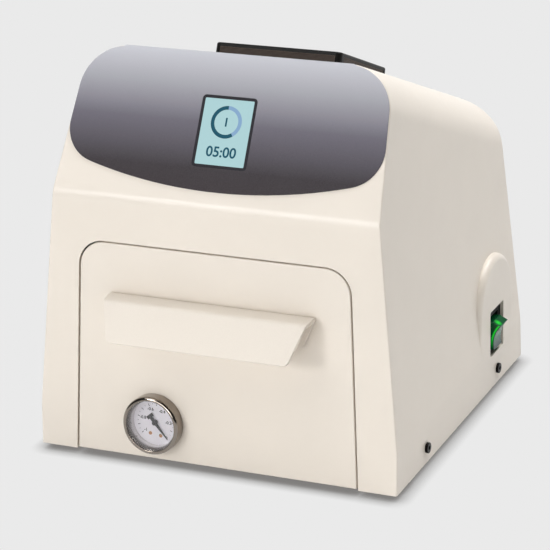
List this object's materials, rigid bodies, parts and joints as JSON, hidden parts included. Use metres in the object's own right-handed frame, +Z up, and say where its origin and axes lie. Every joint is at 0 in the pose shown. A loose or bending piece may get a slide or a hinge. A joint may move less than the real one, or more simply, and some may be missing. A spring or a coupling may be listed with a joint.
{
  "type": "dental lab light curing unit",
  "caption": "Bench-top light curing unit: tapered ivory housing, sloping console with display, vacuum chamber drawer with handle and gauge, fan on top.",
  "frame": {"origin": "on the bench, under the centre of the overall length and width", "axes": "+Z up, the front with its drawer faces -Y, the power switch is on the +X side"},
  "size_m": [0.2879, 0.3159, 0.296],
  "materials": {
    "black_plastic": "fine grained black",
    "black_rubber": "matt rubber",
    "black_screw": "black oxide",
    "brass": "turned",
    "bright_screw": "zinc plated",
    "cast_aluminium": "extruded, satin",
    "chamber_aluminium": "bright rolled",
    "clear_glass": "clear borosilicate",
    "clear_lens": "clear, polished",
    "dial_white": "white dial with plain ticks and numbers",
    "filter_foam": "open cell foam",
    "graded_film": "satin film, light grey at the top to dark plum grey",
    "green_board": "solder-masked board",
    "ivory_paint": "powder coat, semi-gloss",
    "ivory_plastic": "semi-gloss, fine grain",
    "lit_board": "white solder-masked aluminium board with LEDs",
    "lit_panel": "lit colour display",
    "mirror_glass": "mirror plate",
    "pointer_grey": "dark grey",
    "polished_steel": "polished",
    "rocker_green": "translucent, lit from within",
    "silicone": "translucent silicone",
    "tray_steel": "brushed stainless",
    "zinc_steel": "zinc plated sheet"
  },
  "bodies": {
    "unit": {"housing_shell": "ivory_plastic", "console_overlay": "graded_film", "display_window": "clear_lens", "display_panel": "lit_panel", "display_board": "green_board", "board_spacers": "brass", "control_board": "green_board", "fan_guard": "black_plastic", "fan_guard_base": "black_plastic", "fan_filter": "filter_foam", "fan_frame": "black_plastic", "fan_screws": "black_screw", "base_plate": "zinc_steel", "rubber_feet": "black_rubber", "housing_screws": "black_screw", "bulkhead_plate": "zinc_steel", "chamber_box": "chamber_aluminium", "chamber_supports": "zinc_steel", "window_seal": "silicone", "chamber_window": "clear_glass", "window_clamp": "zinc_steel", "led_posts": "brass", "led_board": "lit_board", "heat_sink": "cast_aluminium", "slide_outer_channels": "zinc_steel", "slide_brackets": "zinc_steel", "switch_frame": "black_plastic", "power_supply": "zinc_steel", "terminal_strip": "black_plastic", "pump_mounts": "black_rubber", "vacuum_pump": "cast_aluminium", "release_valve": "brass", "port_fittings": "brass", "vacuum_hoses": "silicone", "mains_inlet": "black_plastic", "inlet_screws": "bright_screw"},
    "drawer": {"drawer_front": "ivory_plastic", "drawer_handle": "ivory_paint", "handle_screws": "bright_screw", "handle_nuts": "bright_screw", "drawer_backing_plate": "zinc_steel", "backing_screws": "bright_screw", "drawer_seal": "silicone", "drawer_tray": "tray_steel", "specimen_plate": "mirror_glass", "slide_inner_channels": "zinc_steel", "gauge_case": "polished_steel", "gauge_bezel": "polished_steel", "gauge_glass": "clear_lens", "gauge_dial": "dial_white", "gauge_ring": "polished_steel", "gauge_movement": "brass", "gauge_strap": "zinc_steel", "gauge_nut": "brass", "hose_elbows": "brass", "gauge_hose": "silicone"},
    "slide_middle": {"slide_middle_channels": "zinc_steel"},
    "pointer": {"gauge_pointer": "pointer_grey"},
    "rocker": {"switch_rocker": "rocker_green"},
    "impeller": {"fan_impeller": "black_plastic"}
  },
  "joints": [
    {"name": "drawer_slide", "type": "slide", "parent": "unit", "child": "drawer", "axis": [0, -1, 0], "range_m": [0, 0.15]},
    {"name": "middle_slide", "type": "slide", "parent": "unit", "child": "slide_middle", "axis": [0, -1, 0], "range_m": [0, 0.075]},
    {"name": "pointer_turn", "type": "hinge", "parent": "drawer", "child": "pointer", "pos_m": [-0.0464, -0.12945, 0.0342], "axis": [0, -0.9984, 0.0563], "range_deg": [0, 270], "stiffness_Nm_per_rad": 0.0005},
    {"name": "rocker_tip", "type": "hinge", "parent": "unit", "child": "rocker", "pos_m": [0.1302, 0.092, 0.0481], "axis": [0, 1, 0], "range_deg": [-28, 0]},
    {"name": "fan_spin", "type": "hinge", "parent": "unit", "child": "impeller", "pos_m": [0, 0.04504, 0.25327], "axis": [0, 0.3616, 0.9323], "continuous": true}
  ],
  "couplings": [
    {"joint": "middle_slide", "follows": "drawer_slide", "ratio": 0.5}
  ]
}
